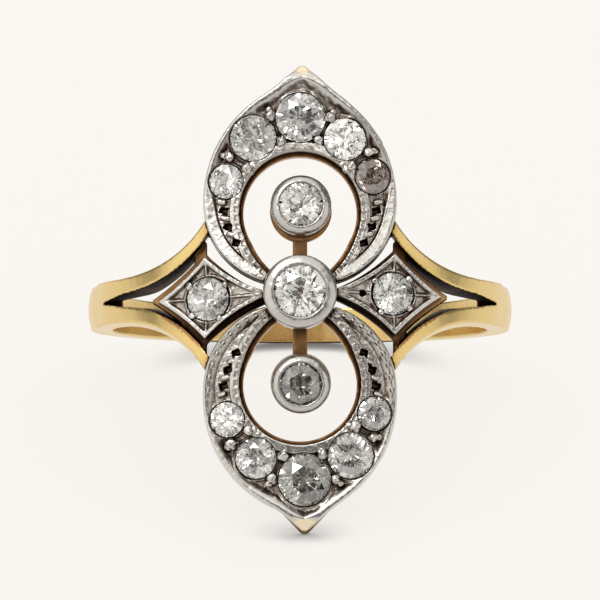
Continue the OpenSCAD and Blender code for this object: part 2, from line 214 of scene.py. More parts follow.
def newGroup(name, inputs, outputs):
    group = bpy.data.node_groups.new(name, "ShaderNodeTree")
    for label, kind, value in inputs:
        socket = group.interface.new_socket(name=label, in_out="INPUT", socket_type=kind)
        if value is not None:
            socket.default_value = value
    for label, kind in outputs:
        group.interface.new_socket(name=label, in_out="OUTPUT", socket_type=kind)
    return group, addNode(group, "NodeGroupInput"), addNode(group, "NodeGroupOutput")


def buildRecessGroup():
    # 1 on open metal, falling to 0 deep in a corner by ambient occlusion, with a ragged noisy edge. The metals darken
    # their colour along it: painted shade in corners and between parts, with dirt tones in it
    group, start, end = newGroup(
        "recessShade",
        [("Reach", "NodeSocketFloat", 0.0004), ("Low", "NodeSocketFloat", 0.3), ("High", "NodeSocketFloat", 0.8),
         ("Ragged", "NodeSocketFloat", 0.2)],
        [("Mask", "NodeSocketFloat")])
    # ambient occlusion: how closed in a spot is, which the metals paint as shade
    shade = addNode(group, "ShaderNodeAmbientOcclusion", {"Distance": start.outputs["Reach"]}, samples=6)
    place = addNode(group, "ShaderNodeTexCoord")
    dirtAndShadeNoise = addNode(group, "ShaderNodeTexNoise", {
        "Vector": place.outputs["Object"], "Scale": 2600.0, "Detail": 3.0, "Roughness": 0.6})
    centred = calculate(group, "SUBTRACT", dirtAndShadeNoise.outputs["Fac"], 0.5)
    ragged = calculate(group, "MULTIPLY_ADD", centred, start.outputs["Ragged"], shade.outputs["AO"])
    spread = addNode(group, "ShaderNodeMapRange", {
        "Value": ragged, "From Min": start.outputs["Low"], "From Max": start.outputs["High"]})
    feed(group, end, {"Mask": spread.outputs["Result"]})
    return group


# Strokes of the file: how each set is turned, and how far its noise is drawn out along an axis
fileStrokes = [
    ((0.5, 0.35, 0.65), (0.12, 1.0, 1.0)),
    ((-0.9, -0.63, -1.17), (1.0, 0.1, 1.0)),
    ((1.9, 1.33, 2.47), (1.0, 1.0, 0.15)),
]


def buildWearGroup():
    # fine marks of files and wear: a height for bump and a shade for roughness, both about 0.5
    group, start, end = newGroup(
        "wearMarks",
        [("Fine", "NodeSocketFloat", 3000.0), ("Coarse", "NodeSocketFloat", 700.0)],
        [("Height", "NodeSocketFloat"), ("Shade", "NodeSocketFloat")])
    place = addNode(group, "ShaderNodeTexCoord")
    total = 0.0
    for turn, stretch in fileStrokes:
        lines = addNode(group, "ShaderNodeMapping", {
            "Vector": place.outputs["Object"], "Rotation": turn, "Scale": stretch})
        marks = addNode(group, "ShaderNodeTexNoise", {
            "Vector": lines.outputs["Vector"], "Scale": start.outputs["Fine"], "Detail": 2.0})
        total = calculate(group, "ADD", total, marks.outputs["Fac"])
    waves = addNode(group, "ShaderNodeTexNoise", {
        "Vector": place.outputs["Object"], "Scale": start.outputs["Coarse"], "Detail": 3.0, "Roughness": 0.55})
    average = calculate(group, "MULTIPLY", total, 1 / len(fileStrokes))
    feed(group, end, {"Height": mixNumbers(group, 0.5, average, waves.outputs["Fac"]), "Shade": waves.outputs["Fac"]})
    return group


def buildStoneReflectionGroup():
    # painted reflections: flat patches of light and dark in the stone's colour, standing for what the facets of an old
    # stone mirror
    group, start, end = newGroup(
        "paintedStoneReflections",
        [("Size", "NodeSocketFloat", 2200.0), ("Dark", "NodeSocketColor", None), ("Light", "NodeSocketColor", None)],
        [("Color", "NodeSocketColor")])
    place = addNode(group, "ShaderNodeTexCoord")
    cells = addNode(group, "ShaderNodeTexVoronoi", {"Vector": place.outputs["Object"], "Scale": start.outputs["Size"]})
    split = addNode(group, "ShaderNodeSeparateColor", {"Color": cells.outputs["Color"]})
    steep = addNode(group, "ShaderNodeMapRange", {"Value": split.outputs["Red"], "From Min": 0.25, "From Max": 0.65},
                    interpolation_type="SMOOTHSTEP")
    shade = mixColours(group, steep.outputs["Result"], start.outputs["Dark"], start.outputs["Light"])
    feed(group, end, {"Color": shade})
    return group


recessShade = buildRecessGroup()
wearMarks = buildWearGroup()
paintedStoneReflections = buildStoneReflectionGroup()

# Metals: colours from the deepest recess to the open surface, with where each starts on the recess mask. The dark
# colours are painted shade in corners and between parts, with brownish dirt tones
goldFinish = {
    "name": "yellowGold",
    "colours": [(0.0, (0.03, 0.012, 0.004)), (0.5, (0.24, 0.11, 0.028)),
                (0.85, (0.67, 0.46, 0.16)), (1.0, (0.80, 0.60, 0.26))],
    "reach": 0.0011, "low": 0.25, "high": 0.97, "ragged": 0.15,
    "roughness": (0.6, 0.28), "uneven": 0.14,
    "fine": 5200.0, "coarse": 900.0, "bump": 0.12, "bumpDepth": 0.00004,
}
# a darker, browner copy of the gold: painted shade for the frame, the lozenges' bases and the cups, which sit back in
# shadow
shadedGoldFinish = {
    "name": "shadedGold",
    "colours": [(0.0, (0.012, 0.006, 0.003)), (0.4, (0.09, 0.042, 0.020)),
                (0.75, (0.26, 0.135, 0.058)), (1.0, (0.50, 0.28, 0.11))],
    "reach": 0.0008, "low": 0.2, "high": 1.0, "ragged": 0.3,
    "roughness": (0.65, 0.36), "uneven": 0.2,
    "fine": 4200.0, "coarse": 2400.0, "bump": 0.3, "bumpDepth": 0.00006,
}
whiteFinish = {
    "name": "platinum",
    "colours": [(0.0, (0.02, 0.011, 0.008)), (0.3, (0.13, 0.078, 0.055)),
                (0.62, (0.34, 0.295, 0.255)), (1.0, (0.62, 0.605, 0.575))],
    "reach": 0.0006, "low": 0.3, "high": 0.96, "ragged": 0.32,
    "roughness": (0.5, 0.25), "uneven": 0.2,
    "fine": 6000.0, "coarse": 2000.0, "bump": 0.4, "bumpDepth": 0.00006,
}

# The forks' inner walls are painted almost black as shade, the collets' lips are dull with wear and the tips are rubbed
# pale
wallFinish = {**shadedGoldFinish, "name": "shadedWallGold", "roughness": (0.8, 0.62),
              "colours": [(0.0, (0.008, 0.004, 0.002)), (0.7, (0.030, 0.014, 0.007)), (1.0, (0.085, 0.042, 0.020))]}
lipFinish = {**whiteFinish, "name": "wornPlatinum", "roughness": (0.5, 0.27), "uneven": 0.35, "bump": 0.6,
             "colours": [(0.0, (0.03, 0.018, 0.012)), (0.4, (0.20, 0.16, 0.13)), (1.0, (0.55, 0.535, 0.51))]}
noseFinish = {**goldFinish, "name": "paleGold", "reach": 0.0003,
              "colours": [(0.0, (0.30, 0.17, 0.07)), (0.6, (0.74, 0.58, 0.36)), (1.0, (0.86, 0.74, 0.54))]}


def metal(finish):
    material = bpy.data.materials.new(finish["name"])
    material.use_nodes = True
    tree = material.node_tree
    recess = addNode(tree, "ShaderNodeGroup", node_tree=recessShade)
    feed(tree, recess, {name: finish[name.lower()] for name in ("Reach", "Low", "High", "Ragged")})
    marks = addNode(tree, "ShaderNodeGroup", node_tree=wearMarks)
    feed(tree, marks, {name: finish[name.lower()] for name in ("Fine", "Coarse")})
    # the colour darkens along the recess mask: painted shade, with dirt tones
    ramp = addNode(tree, "ShaderNodeValToRGB", {"Fac": recess.outputs["Mask"]})
    stops = ramp.color_ramp.elements
    while len(stops) < len(finish["colours"]):
        stops.new(0.5)
    for stop, (at, colour) in zip(stops, finish["colours"]):
        stop.position = at
        stop.color = opaque(colour)
    dull, polished = finish["roughness"]
    rough = mixNumbers(tree, recess.outputs["Mask"], dull, polished)
    uneven = calculate(tree, "SUBTRACT", marks.outputs["Shade"], 0.5)
    bump = addNode(tree, "ShaderNodeBump", {
        "Strength": finish["bump"], "Distance": finish["bumpDepth"], "Height": marks.outputs["Height"]})
    feed(tree, tree.nodes["Principled BSDF"], {
        "Metallic": 1.0, "Base Color": ramp.outputs["Color"], "Normal": bump.outputs["Normal"],
        "Roughness": calculate(tree, "MULTIPLY_ADD", uneven, finish["uneven"], rough)})
    return material


# Stones: their colour is painted reflections; the darkest and lightest patch of each kind, and how many patches to a
# metre
stoneKinds = {
    "bright": {"dark": (0.34, 0.34, 0.33), "light": (0.95, 0.94, 0.91), "size": 1300.0},
    "grey": {"dark": (0.24, 0.24, 0.23), "light": (0.80, 0.79, 0.76), "size": 1150.0},
    "dull": {"dark": (0.16, 0.155, 0.14), "light": (0.56, 0.55, 0.52), "size": 1100.0},
    "brown": {"dark": (0.17, 0.13, 0.11), "light": (0.50, 0.43, 0.38), "size": 900.0},
}
diamondIndex = 2.417


def stoneMaterial(name, kind):
    material = bpy.data.materials.new(name + "Diamond")
    material.use_nodes = True
    tree = material.node_tree
    # patches of painted reflection tint the light that passes through the stone
    patches = addNode(tree, "ShaderNodeGroup", node_tree=paintedStoneReflections)
    feed(tree, patches, {"Size": kind["size"], "Dark": opaque(kind["dark"]), "Light": opaque(kind["light"])})
    feed(tree, tree.nodes["Principled BSDF"], {
        "Roughness": 0.0, "IOR": diamondIndex, "Transmission Weight": 1.0, "Base Color": patches.outputs["Color"]})
    return material


gold = metal(goldFinish)
# brown is the gold in painted shade, wallGold its almost black painted shade
brown = metal(shadedGoldFinish)
white = metal(whiteFinish)
wallGold = metal(wallFinish)
lipWhite = metal(lipFinish)
noseGold = metal(noseFinish)
diamonds = {name: stoneMaterial(name, kind) for name, kind in stoneKinds.items()}
print("materials ready")

# Head of the ring: its face is part of a barrel whose axis runs along the finger
head = {"faceRadius": 13.0, "axisY": 2.6, "flatHalf": 1.9, "lean": 3.5, "drop": 0.2, "whiteDepth": 0.8}


def faceRadius(v):
    return head["faceRadius"] - max(0, abs(v) - head["flatHalf"]) * math.tan(math.radians(head["lean"]))


def onFace(x, v, height=0.0):
    # a place of the front view at a height over the face, in the ring's frame, and the way out of the face there
    radius = faceRadius(v)
    swing = math.asin(x / radius)
    lean = math.radians(head["lean"]) * (math.copysign(1, v) if abs(v) > head["flatHalf"] else 0)
    out = Vector((math.sin(swing) * math.cos(lean), -math.cos(swing) * math.cos(lean), math.sin(lean)))
    foot = Vector((radius * math.sin(swing), head["axisY"] - radius * math.cos(swing), v - head["drop"]))
    return foot + out * height, out


def behindFace(x, v, depth):
    # the place straight behind one of the front view, on the face sunk by a depth
    return Vector((x, head["axisY"] - math.sqrt((faceRadius(v) - depth) ** 2 - x * x), v - head["drop"]))


def standOnFace(x, v, height=0.0, spin=0.0, lean=0.0):
    # matrix that stands a small piece on the face, its own z outwards
    foot, out = onFace(x, v, height)
    side = Vector((0, 0, 1)).cross(out).normalized()
    up = out.cross(side)
    stand = Matrix.Translation(foot) @ Matrix((side, up, out)).transposed().to_4x4()
    return stand @ Matrix.Rotation(math.radians(-lean), 4, "X") @ Matrix.Rotation(math.radians(spin), 4, "Z")


def newPiece(name, bm, slot, *materials):
    # the mesh is in the ring's frame until here
    bm.transform(ringToRow)
    mesh = bpy.data.meshes.new(name)
    bm.to_mesh(mesh)
    bm.free()
    piece = bpy.data.objects.new(name, mesh)
    scene.collection.objects.link(piece)
    for material in materials:
        mesh.materials.append(material)
    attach(piece, "root")
    return piece


def smoothStep(low, high, value):
    share = min(max((value - low) / (high - low), 0.0), 1.0)
    return share * share * (3 - 2 * share)


def mix(a, b, share):
    return a + (b - a) * share


def meltedCopy(bm, cell, passes, mostTriangles):
    # joins what overlaps into one skin of small square cells, rounds its edges as wear does, then thins it
    mesh = bpy.data.meshes.new("melting")
    bm.to_mesh(mesh)
    bm.free()
    rough = bpy.data.objects.new("melting", mesh)
    scene.collection.objects.link(rough)
    remesh = rough.modifiers.new("cells", "REMESH")
    remesh.mode = "VOXEL"
    remesh.voxel_size = cell
    smooth = rough.modifiers.new("wear", "SMOOTH")
    smooth.factor = 0.5
    smooth.iterations = passes
    result = bpy.data.meshes.new_from_object(rough.evaluated_get(bpy.context.evaluated_depsgraph_get()))
    count = len(result.polygons)
    if 2 * count > mostTriangles:
        rough.modifiers.clear()
        rough.data = result
        thin = rough.modifiers.new("thin", "DECIMATE")
        thin.ratio = mostTriangles / (2 * count)
        result = bpy.data.meshes.new_from_object(rough.evaluated_get(bpy.context.evaluated_depsgraph_get()))
    bpy.data.objects.remove(rough)
    melted = bmesh.new()
    melted.from_mesh(result)
    for face in melted.faces:
        face.smooth = True
    print("melted", count, "cells to", len(melted.faces), "faces")
    return melted


def nodeCopy(name):
    bm = bmesh.new()
    bm.from_mesh(nodes[name].data)
    bm.transform(rowToRing)
    bmesh.ops.remove_doubles(bm, verts=bm.verts, dist=weldDistance)
    return bm


# Gold: hoop, forked shoulders, the frame under the head, cups and bars. The frame and the lozenges' bases get a brown
# copy of the gold and the forks' inner walls an almost black one, both painted shade. The arms' outer face is part of a
# circle seen from the top.
goldWork = {
    "cell": 0.055, "passes": 3, "mostTriangles": 190000,
    "gallery": {"x": 4.4, "v": 10.2, "back": -7.2},
    "arm": {"fromX": 3.7, "centreY": -0.95, "radius": 9.35, "skinRadius": 9.15},
    "base": {"x": 4.2, "halfX": 2.75, "halfV": 2.3, "back": -6.0},
    "fork": {"fromX": 4.3, "toX": 8.7, "back": -2.0, "closed": 0.15, "facing": 0.35, "slant": 0.16,
             "opens": (0.1, 0.8), "fade": 1.0},
}


def slantForks(bm):
    # the inner walls come closer to each other with depth, so they show from the front as dark bands; their almost
    # black colour is painted shade
    arm, fork = goldWork["arm"], goldWork["fork"]
    walls = set()
    for vert in bm.verts:
        x, y, v = abs(vert.co.x), vert.co.y, abs(vert.co.z)
        inFork = fork["fromX"] < x < fork["toX"] and y < fork["back"] and v > fork["closed"]
        if inFork and vert.normal.z * vert.co.z < -fork["facing"] * v:
            depth = y + math.sqrt(max(arm["radius"] ** 2 - x ** 2, 0)) - arm["centreY"]
            room = smoothStep(*fork["opens"], v) * smoothStep(fork["toX"], fork["toX"] - fork["fade"], x)
            vert.co.z -= math.copysign(max(depth, 0) * fork["slant"] * room, vert.co.z)
            walls.add(vert)
    return walls


def castGold():
    gallery, arm, base = goldWork["gallery"], goldWork["arm"], goldWork["base"]
    bm = meltedCopy(nodeCopy("shank_and_gallery"), goldWork["cell"], goldWork["passes"], goldWork["mostTriangles"])
    bm.normal_update()
    walls = slantForks(bm)
    for face in bm.faces:
        x, y, v = face.calc_center_median()
        x, v = abs(x), abs(v + head["drop"])
        onBase = y < base["back"] and abs(x - base["x"]) / base["halfX"] + v / base["halfV"] < 1
        inGallery = y < gallery["back"] and v < gallery["v"] and x < gallery["x"]
        onArm = x > arm["fromX"] and math.hypot(x, y - arm["centreY"]) > arm["skinRadius"]
        # the fork walls: almost black, painted shade
        if all(vert in walls for vert in face.verts):
            face.material_index = 2
        # the frame and the lozenges' bases: brown, painted shade
        elif onBase or (inGallery and not onArm):
            face.material_index = 1
    piece = newPiece("goldShank", bm, "gold", gold, brown, wallGold)
    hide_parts("shank_and_gallery")


castGold()

# Stones of the upper and of the lower half, with the places where each sits: across, along and width, the turn of
# its facets and its kind
crescentStones = {
    "upper_crescent": [
        (-3.28, 5.16, 1.52, 12, "bright"), (-2.08, 7.06, 2.04, 30, "grey"), (0.03, 7.96, 2.20, 5, "bright"),
        (1.99, 7.01, 1.86, 20, "bright"), (3.21, 5.38, 1.56, 0, "brown"),
    ],
    "lower_crescent": [
        (-3.22, -5.35, 1.54, 8, "grey"), (-1.95, -7.05, 1.80, 25, "grey"), (0.20, -8.00, 2.30, 15, "dull"),
        (2.24, -6.93, 2.02, 35, "grey"), (3.29, -5.09, 1.50, 18, "grey"),
    ],
}
sideStones = {"left_lozenge": (-4.08, -0.04, 1.90, 10, "grey"), "right_lozenge": (4.12, 0.20, 1.86, 28, "grey")}

# White fronts of the crescents, drawn as a strip that runs round the opening from one leg to the other.
# The outline: half width, the height where the pointed arch starts and its rise, heels, tip and opening.
crescentShape = {
    "halfWidth": 4.25, "archV": 4.34, "archRise": 5.2426, "heelRadius": 3.72, "proud": 0.03,
    "heelV": {"upper_crescent": 4.28, "lower_crescent": 4.03},
    "tipV": {"upper_crescent": 10.3, "lower_crescent": 10.2},
    "tipShift": {"upper_crescent": 0.1, "lower_crescent": 0.2},
    "openingV": 3.78, "openingRadius": 2.7, "lensRadius": 3.7, "lensOffset": 1.06,
    "centreV": 0.22, "centreRoom": 1.66,
}
# The nose: a round point with straight sides and a chamfer, filleted to the arch; pale gold, and falling away
noseShape = {
    "radius": 0.26, "side": (0.676, 0.737), "chamfer": (0.49, 0.75, 0.662), "length": 3, "fillet": (0.2, 0.05),
    "gold": {"upper_crescent": 0.42, "lower_crescent": 0.55}, "goldSlope": 0.35, "drop": 0.35, "dropLength": 0.6,
}
crescentWork = {
    "along": 760, "across": 84,
    "legFade": (5.4, 3.7), "tipRimFade": (9.2, 9.9), "tipSlopeFade": (7.6, 9.3),
    "rimWidth": 0.14, "legRim": {"upper_crescent": 0.34, "lower_crescent": 0.08}, "tipRim": 0.26,
    "rimRound": 0.08, "rimDip": 0.07, "dipFrom": 0.1,
    "slopeWidth": 0.36, "legSlope": {"upper_crescent": 0.08, "lower_crescent": 0.28}, "tipSlope": 0.25,
    "floor": -0.32, "legFloor": -0.16, "stripWidth": 0.38, "stripEdge": 0.07,
    "handCut": 0.04, "cutScales": (4.1, 9.7), "raisedCut": 0.7, "holeInset": 0.2,
}
millgrain = {"width": 0.19, "edge": (-0.02, 0.03), "pitch": 0.37, "depth": 0.07, "gaps": (0.13, 0.24),
             "worn": (5.6, 6.2), "roundDepth": 0.04, "roundWidth": 0.05}
ticks = {"height": 0.03, "offset": 0.02, "width": (0.03, 0.07), "fade": (4.4, 4.0), "length": (0.12, 0.2)}
legWork = {
    "turn": 14, "rough": 0.05,
    "pierced": [(3.40, 3.88), (3.20, 3.16), (2.83, 2.42)], "piercedHalf": (0.19, 0.14),
    "piercedDepth": -0.45, "piercedEdge": (-0.08, 0.03),
    "bars": [(3.46, 4.24), (3.31, 3.52), (3.03, 2.80)], "barHalf": (0.102, 0.039), "barRound": 0.09,
    "barTop": 0.01, "barCrown": (0.3, 0.8 / 0.13), "barEdge": (-0.03, 0.06),
}
crescentSeat = {"depth": -0.62, "wall": (-0.05, 0.04), "lipAt": 0.07, "lipWidth": 0.07, "lipTop": -0.04,
                "lipShare": 0.75, "reach": 0.4}
lozengeSeat = {"depth": -0.62, "wall": (-0.06, 0.03), "lipAt": 0.08, "lipWidth": 0.07, "lipTop": -0.02,
               "lipShare": 0.8}


def unevenAt(x, v, scale, seed):
    return noise.noise(Vector((scale * x, scale * v, seed)))


def roundedOff(distance, width):
    # 1 on an edge, falling to 0 a width inside it
    return (1 - min(max(distance, 0) / width, 1)) ** 2


def sinkSeat(height, x, v, gap, seat, seed):
    # a seat for a stone that starts at gap 0, in a low ragged lip that was pushed up round it
    ragged = 0.5 + 0.5 * unevenAt(x, v, 3.0, seed)
    lip = math.exp(-((gap - seat["lipAt"]) / seat["lipWidth"]) ** 2) * ragged
    height = mix(height, max(height, seat["lipTop"]), seat["lipShare"] * lip)
    return mix(seat["depth"], height, smoothStep(*seat["wall"], gap))


def insideNose(across, down):
    sideX, sideV = noseShape["side"]
    if sideV * across < sideX * down:
        point = noseShape["radius"] - math.hypot(across, down)
    else:
        point = noseShape["radius"] - (sideX * across + sideV * down)
    reach, chamferX, chamferV = noseShape["chamfer"]
    return min(point, reach - chamferX * across - chamferV * down, down + noseShape["length"])


def insideOutline(x, v, name):
    # distance inside the crescent's outline in the front view, negative outside, with the crescent pointing up
    shape = crescentShape
    half, rise, shift = shape["halfWidth"], shape["archRise"], shape["tipShift"][name]
    if v < shape["archV"]:
        # below the arch: a wide round heel that runs in to the centre
        radius, below = shape["heelRadius"], min(v - shape["heelV"][name], 0)
        return shape["proud"] + radius - math.hypot(abs(x) - (half - radius), below)
    sides = []
    for side in (1, -1):
        lean = side * shift
        back = (lean * lean + rise * rise - half * half) / (2 * (half - lean))
        sides.append(half + back - math.hypot(x + side * back, v - shape["archV"]))
    arch = min(sides)
    nose = insideNose(abs(x - shift), v - shape["tipV"][name] + noseShape["radius"])
    width, depth = noseShape["fillet"]
    blend = max(width - abs(arch - nose), 0) / width
    return max(arch, nose) + depth * blend * blend + shape["proud"]


def outsideOpening(x, v):
    shape = crescentShape
    down = v - shape["openingV"]
    disc = math.hypot(x, down) - shape["openingRadius"]
    if v >= shape["openingV"]:
        return disc
    lens = math.hypot(abs(x) + shape["lensOffset"], down) - shape["lensRadius"]
    return min(disc, lens)


def lastPlace(holds, low, high, steps):
    # the last value between low and high for which a test still holds
    for i in range(steps):
        middle = (low + high) / 2
        if holds(middle):
            low = middle
        else:
            high = middle
    return low


def onRay(angle, reach):
    # the place that far out from the opening's middle
    return reach * math.cos(angle), crescentShape["openingV"] + reach * math.sin(angle)


def reachAlong(angle, inside, low, high):
    return lastPlace(lambda reach: inside(*onRay(angle, reach)) > 0, low, high, 34)


def turnedFrom(x, v, placeX, placeV):
    turn = math.radians(legWork["turn"])
    across, up = abs(x) - placeX, v - placeV
    return across * math.cos(turn) + up * math.sin(turn), -across * math.sin(turn) + up * math.cos(turn)


def cutLeg(height, x, v, seed):
    # bright bars and dark square piercings down each leg
    rough = legWork["rough"] * unevenAt(x, v, 5, seed)
    halfA, halfB = legWork["barHalf"]
    crownA, crownB = legWork["barCrown"]
    for place in legWork["bars"]:
        a, b = turnedFrom(x, v, *place)
        gap = math.hypot(max(abs(a) - halfA, 0), max(abs(b) - halfB, 0)) - legWork["barRound"] + rough
        top = legWork["barTop"] - crownB * b * b - crownA * a * a + rough
        height = mix(max(height, top), height, smoothStep(*legWork["barEdge"], gap))
    halfA, halfB = legWork["piercedHalf"]
    for place in legWork["pierced"]:
        a, b = turnedFrom(x, v, *place)
        gap = max(abs(a) - halfA, abs(b) - halfB) + rough
        height = mix(legWork["piercedDepth"], height, smoothStep(*legWork["piercedEdge"], gap))
    return height


def cutHeight(x, v, along, stones, name, seed):
    work = crescentWork
    outer, inner = insideOutline(x, v, name), outsideOpening(x, v)
    onLeg = smoothStep(*work["legFade"], v)
    rim = work["rimWidth"] + work["legRim"][name] * onLeg + work["tipRim"] * smoothStep(*work["tipRimFade"], v)
    slope = mix(work["slopeWidth"], work["legSlope"][name], onLeg)
    slope += work["tipSlope"] * smoothStep(*work["tipSlopeFade"], v)
    onStrip = 1 - smoothStep(work["stripWidth"], work["stripWidth"] + work["stripEdge"], inner)
    raised = max(1 - smoothStep(rim, rim + slope, outer), onStrip)
    broad, fine = work["cutScales"]
    cut = unevenAt(x, v, broad, seed) + 0.5 * unevenAt(x, v, fine, seed + 7)
    height = mix(work["floor"], work["legFloor"], onLeg) * (1 - raised)
    height += work["handCut"] * cut * (1 - work["raisedCut"] * raised)
    # the rim is rounded off outside and a little sunk towards the channel on the legs
    height -= work["rimRound"] * roundedOff(outer, work["rimRound"])
    if outer < rim + slope:
        height -= work["rimDip"] * onLeg * smoothStep(work["dipFrom"], rim, outer)
    # millgrain along the opening: a row of small bright ticks, worn away towards the top
    phase = abs((along / millgrain["pitch"]) % 1 - 0.5)
    before, after = millgrain["edge"]
    onGrain = 1 - smoothStep(millgrain["width"] + before, millgrain["width"] + after, inner)
    between = smoothStep(*millgrain["gaps"], phase) * (1 - smoothStep(*millgrain["worn"], v))
    edge = millgrain["roundDepth"] * roundedOff(inner, millgrain["roundWidth"])
    height -= onGrain * (millgrain["depth"] * between + edge)
    if name == "lower_crescent":
        onEdge = 1 - smoothStep(*ticks["width"], abs(outer - rim - ticks["offset"]))
        onTick = smoothStep(*ticks["fade"], v) * (1 - smoothStep(*ticks["length"], phase))
        height = mix(height, ticks["height"], onEdge * onTick)
    height = cutLeg(height, x, v, seed + 20)
    # the nose falls away to the gold behind it
    tip = crescentShape["tipV"][name]
    height -= noseShape["drop"] * smoothStep(tip - noseShape["dropLength"], tip, v)
    for stoneX, stoneV, stoneWidth in stones:
        gap = math.hypot(x - stoneX, v - stoneV) - stoneWidth / 2
        if gap < crescentSeat["reach"]:
            height = sinkSeat(height, x, v, gap, crescentSeat, seed + 11)
    return height


def stripMesh(alongCount, acrossCount, depth, place, joined=False):
    # a solid strip: its front is a fine grid and its back a coarse one. place gives each spot of the front as
    # x, v and height from its shares along and across. A joined strip meets itself.
    bm = bmesh.new()
    bmesh.ops.create_grid(bm, x_segments=alongCount, y_segments=1, size=0.5)
    raised = bmesh.ops.extrude_face_region(bm, geom=bm.faces[:], use_keep_orig=True)
    for item in raised["geom"]:
        if isinstance(item, bmesh.types.BMVert):
            item.co.z = 1
    crossing = [edge for edge in bm.edges if min(vert.co.z for vert in edge.verts) > 0.5
                and abs(edge.verts[0].co.y - edge.verts[1].co.y) > 0.5]
    bmesh.ops.subdivide_edges(bm, edges=crossing, cuts=acrossCount - 1, use_grid_fill=True)
    ends = [vert for vert in bm.verts if abs(vert.co.x) > 0.4999]
    if joined:
        walls = [face for face in bm.faces if all(abs(vert.co.x) > 0.4999 for vert in face.verts)]
        bmesh.ops.delete(bm, geom=walls, context="FACES_ONLY")
    for vert in bm.verts:
        x, v, height = place(vert.co.x + 0.5, vert.co.y + 0.5)
        vert.co = onFace(x, v, height)[0] if vert.co.z > 0.5 else behindFace(x, v, depth)
    if joined:
        bmesh.ops.remove_doubles(bm, verts=ends, dist=weldDistance)
    for face in bm.faces:
        face.smooth = True
    bmesh.ops.recalc_face_normals(bm, faces=bm.faces)
    if bm.calc_volume(signed=True) < 0:
        bmesh.ops.reverse_faces(bm, faces=bm.faces)
    return bm


# Beads between the stones: a large and a small one on either side of each gap, and four round a lozenge's stone
beadKinds = {
    "large": {"radius": 0.2, "height": -0.03, "squash": 0.75},
    "small": {"radius": 0.13, "height": -0.1, "squash": 0.8},
    "lozenge": {"radius": 0.14, "height": -0.04, "squash": 0.75},
}
beadWork = {"spread": 0.04, "ragged": 0.5, "scale": 5, "seeds": 9, "reach": 0.62, "smallAway": 0.24, "stray": 0.3,
            "lozengeTurns": (45, 135, 225, 315), "lozengeStray": 14, "lozengeAway": 0.03}


def addBead(bm, x, v, kind, dice):
    # a bead of metal pushed up by the setter's tool, never quite round
    radius = kind["radius"] + beadWork["spread"] * dice.random()
    seed = dice.random() * beadWork["seeds"]
    stand = standOnFace(x, v, kind["height"])
    made = bmesh.ops.create_icosphere(bm, subdivisions=3, radius=radius)
    for vert in made["verts"]:
        spot = vert.co * beadWork["scale"] + Vector((seed, 3 * seed, 0))
        vert.co *= 1 + beadWork["ragged"] * noise.noise(spot)
        vert.co.z *= kind["squash"]
        vert.co = stand @ vert.co
        for face in vert.link_faces:
            face.smooth = True


drill = {"length": 1.6, "middle": -1.3, "segments": 48}


def drilled(bm, holes):
    # light holes behind the stones, each with its place and radius
    parts = []
    cutters = bmesh.new()
    for x, v, radius in holes:
        made = bmesh.ops.create_cone(cutters, cap_ends=True, segments=drill["segments"], radius1=radius, radius2=radius,
                                     depth=drill["length"])
        bmesh.ops.transform(cutters, matrix=standOnFace(x, v, drill["middle"]), verts=made["verts"])
    for label, part in (("drilling", bm), ("drills", cutters)):
        mesh = bpy.data.meshes.new(label)
        part.to_mesh(mesh)
        part.free()
        parts.append(bpy.data.objects.new(label, mesh))
        scene.collection.objects.link(parts[-1])
    cut = parts[0].modifiers.new("holes", "BOOLEAN")
    cut.operation = "DIFFERENCE"
    cut.solver = "MANIFOLD"
    cut.object = parts[1]
    result = bpy.data.meshes.new_from_object(parts[0].evaluated_get(bpy.context.evaluated_depsgraph_get()))
    for part in parts:
        bpy.data.objects.remove(part)
    opened = bmesh.new()
    opened.from_mesh(result)
    bmesh.ops.dissolve_degenerate(opened, dist=weldDistance, edges=opened.edges)
    openEdges = sum(not edge.is_manifold for edge in opened.edges)
    print("drilled", len(holes), "holes:", len(opened.faces), "faces,", openEdges, "open edges")
    return opened


def crescentSpans(name, up):
    # from the one leg to the other: angle, inner and outer reach, and the way covered along the opening's edge
    shape, count = crescentShape, crescentWork["along"]

    def inRoom(x, v):
        return math.hypot(x, v - up * shape["centreV"]) - shape["centreRoom"]

    def openingReach(angle):
        return reachAlong(angle, lambda x, v: -outsideOpening(x, v), 0.5, 5)

    # the strip ends where the opening's edge meets the room of the centre collet
    endAngle = lastPlace(lambda angle: inRoom(*onRay(angle, openingReach(angle))) <= 0, -math.pi / 2, 0.0, 40)
    spans, along, lastEdge = [], 0.0, None
    for i in range(count + 1):
        angle = endAngle + (math.pi - 2 * endAngle) * i / count
        near = openingReach(angle)
        far = reachAlong(angle, lambda x, v: insideOutline(x, v, name), near, 8)
        if inRoom(*onRay(angle, far)) < 0:
            far = reachAlong(angle, inRoom, near, far)
        edge = Vector(onRay(angle, near))
        along += (edge - lastEdge).length if lastEdge else 0
        lastEdge = edge
        spans.append((angle, near, far, along))
    return spans


def setBeads(name, up, stones, dice):
    beads = bmesh.new()
    for (ax, av, aw), (bx, bv, bw) in zip(stones, stones[1:]):
        a, b = Vector((ax, av)), Vector((bx, bv))
        step = (b - a).normalized()
        gapMiddle = a + step * (aw / 2 + ((b - a).length - aw / 2 - bw / 2) / 2)
        side = Vector((-step.y, step.x))
        for way in (-1, 1):
            spot = gapMiddle + side * (way * beadWork["reach"] * min(aw, bw) / 2)
            addBead(beads, spot.x, up * spot.y, beadKinds["large"], dice)
            spot += side * way * beadWork["smallAway"] + step * (dice.random() - 0.5) * beadWork["stray"]
            addBead(beads, spot.x, up * spot.y, beadKinds["small"], dice)
    newPiece(name + "_beads", beads, "platinum", white)


